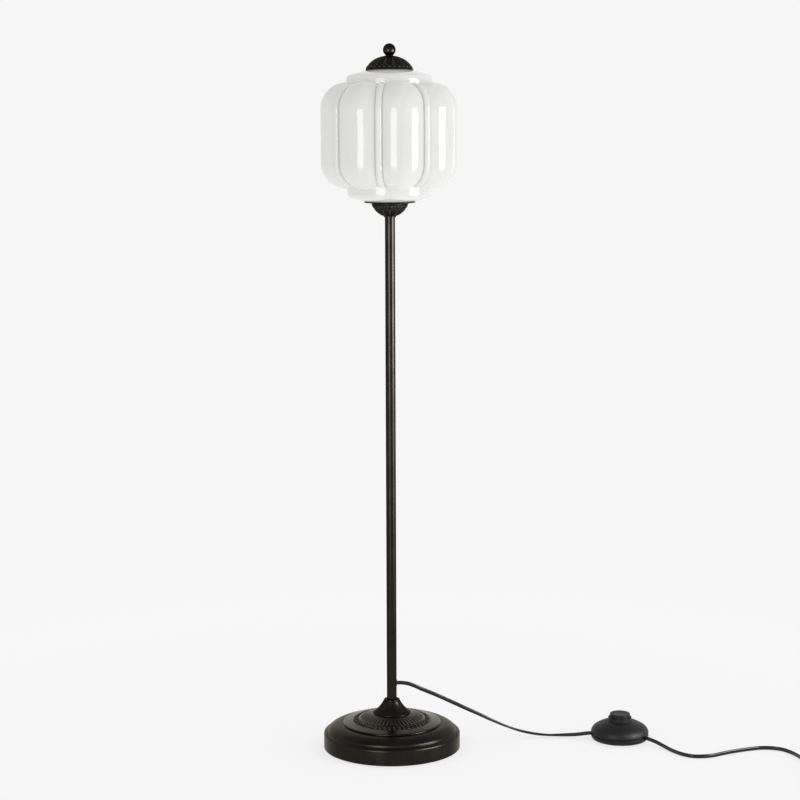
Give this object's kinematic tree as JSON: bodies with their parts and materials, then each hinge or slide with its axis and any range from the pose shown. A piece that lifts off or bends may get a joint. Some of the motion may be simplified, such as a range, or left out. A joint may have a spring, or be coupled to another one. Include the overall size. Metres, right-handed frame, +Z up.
{
  "type": "floor lamp",
  "caption": "Slim floor lamp with a lobed opal glass lantern shade, ball finial, dark metal pole, stepped round base and a lead with a round foot switch.",
  "frame": {"origin": "centre of the underside of the base, on the floor", "axes": "+Z up along the pole, +X towards the side where the lead leaves"},
  "size_m": [0.9025, 0.3266, 1.1285],
  "materials": {
    "dark_bronze": "satin dark bronze lacquer",
    "cast_iron": "raw casting",
    "felt": "pressed felt",
    "zinc_steel": "zinc plated",
    "brass": "plain turned brass",
    "opal_glass": "glossy opal glass",
    "bulb_glass": "frosted",
    "black_plastic": "satin moulded plastic",
    "white_plastic": "moulded",
    "black_rubber": "matt",
    "cord_vinyl": "smooth flexible vinyl",
    "nickel": "nickel plated"
  },
  "bodies": {
    "root": {"base_shell": "dark_bronze", "base_weight": "cast_iron", "base_pad": "felt", "base_washer": "zinc_steel", "base_nut": "zinc_steel", "rosette": "dark_bronze", "neck": "dark_bronze", "foot_stud": "zinc_steel", "lower_pole": "dark_bronze", "cord_bushing": "black_rubber", "pole_coupler": "zinc_steel", "upper_pole": "dark_bronze", "head_stud": "zinc_steel", "inner_flex": "white_plastic", "cup": "dark_bronze", "plate": "dark_bronze", "head_nut": "zinc_steel", "harp_saddle": "zinc_steel", "harp": "brass", "lampholder": "black_plastic", "holder_thread": "brass", "bulb_cap": "nickel", "bulb_globe": "bulb_glass", "lower_gasket": "black_rubber", "glass_shade": "opal_glass", "upper_gasket": "black_rubber", "top_cap": "dark_bronze", "finial": "dark_bronze", "cord_upper": "cord_vinyl", "switch_base": "black_plastic", "switch_cover": "black_plastic", "switch_core": "white_plastic", "button_spring": "zinc_steel", "switch_screws": "zinc_steel", "switch_feet": "black_rubber", "cord_lower": "cord_vinyl", "cord_coil": "cord_vinyl", "cord_tie": "black_rubber", "cord_tail": "cord_vinyl", "plug_body": "black_plastic", "plug_pins": "nickel"},
    "button": {"switch_button": "black_plastic"}
  },
  "joints": [
    {"name": "button_press", "type": "slide", "parent": "root", "child": "button", "axis": [0, 0, -1], "range_m": [0, 0.0035], "stiffness_N_per_m": 600, "springref_m": -0.002, "deforming": ["button_spring"]}
  ]
}
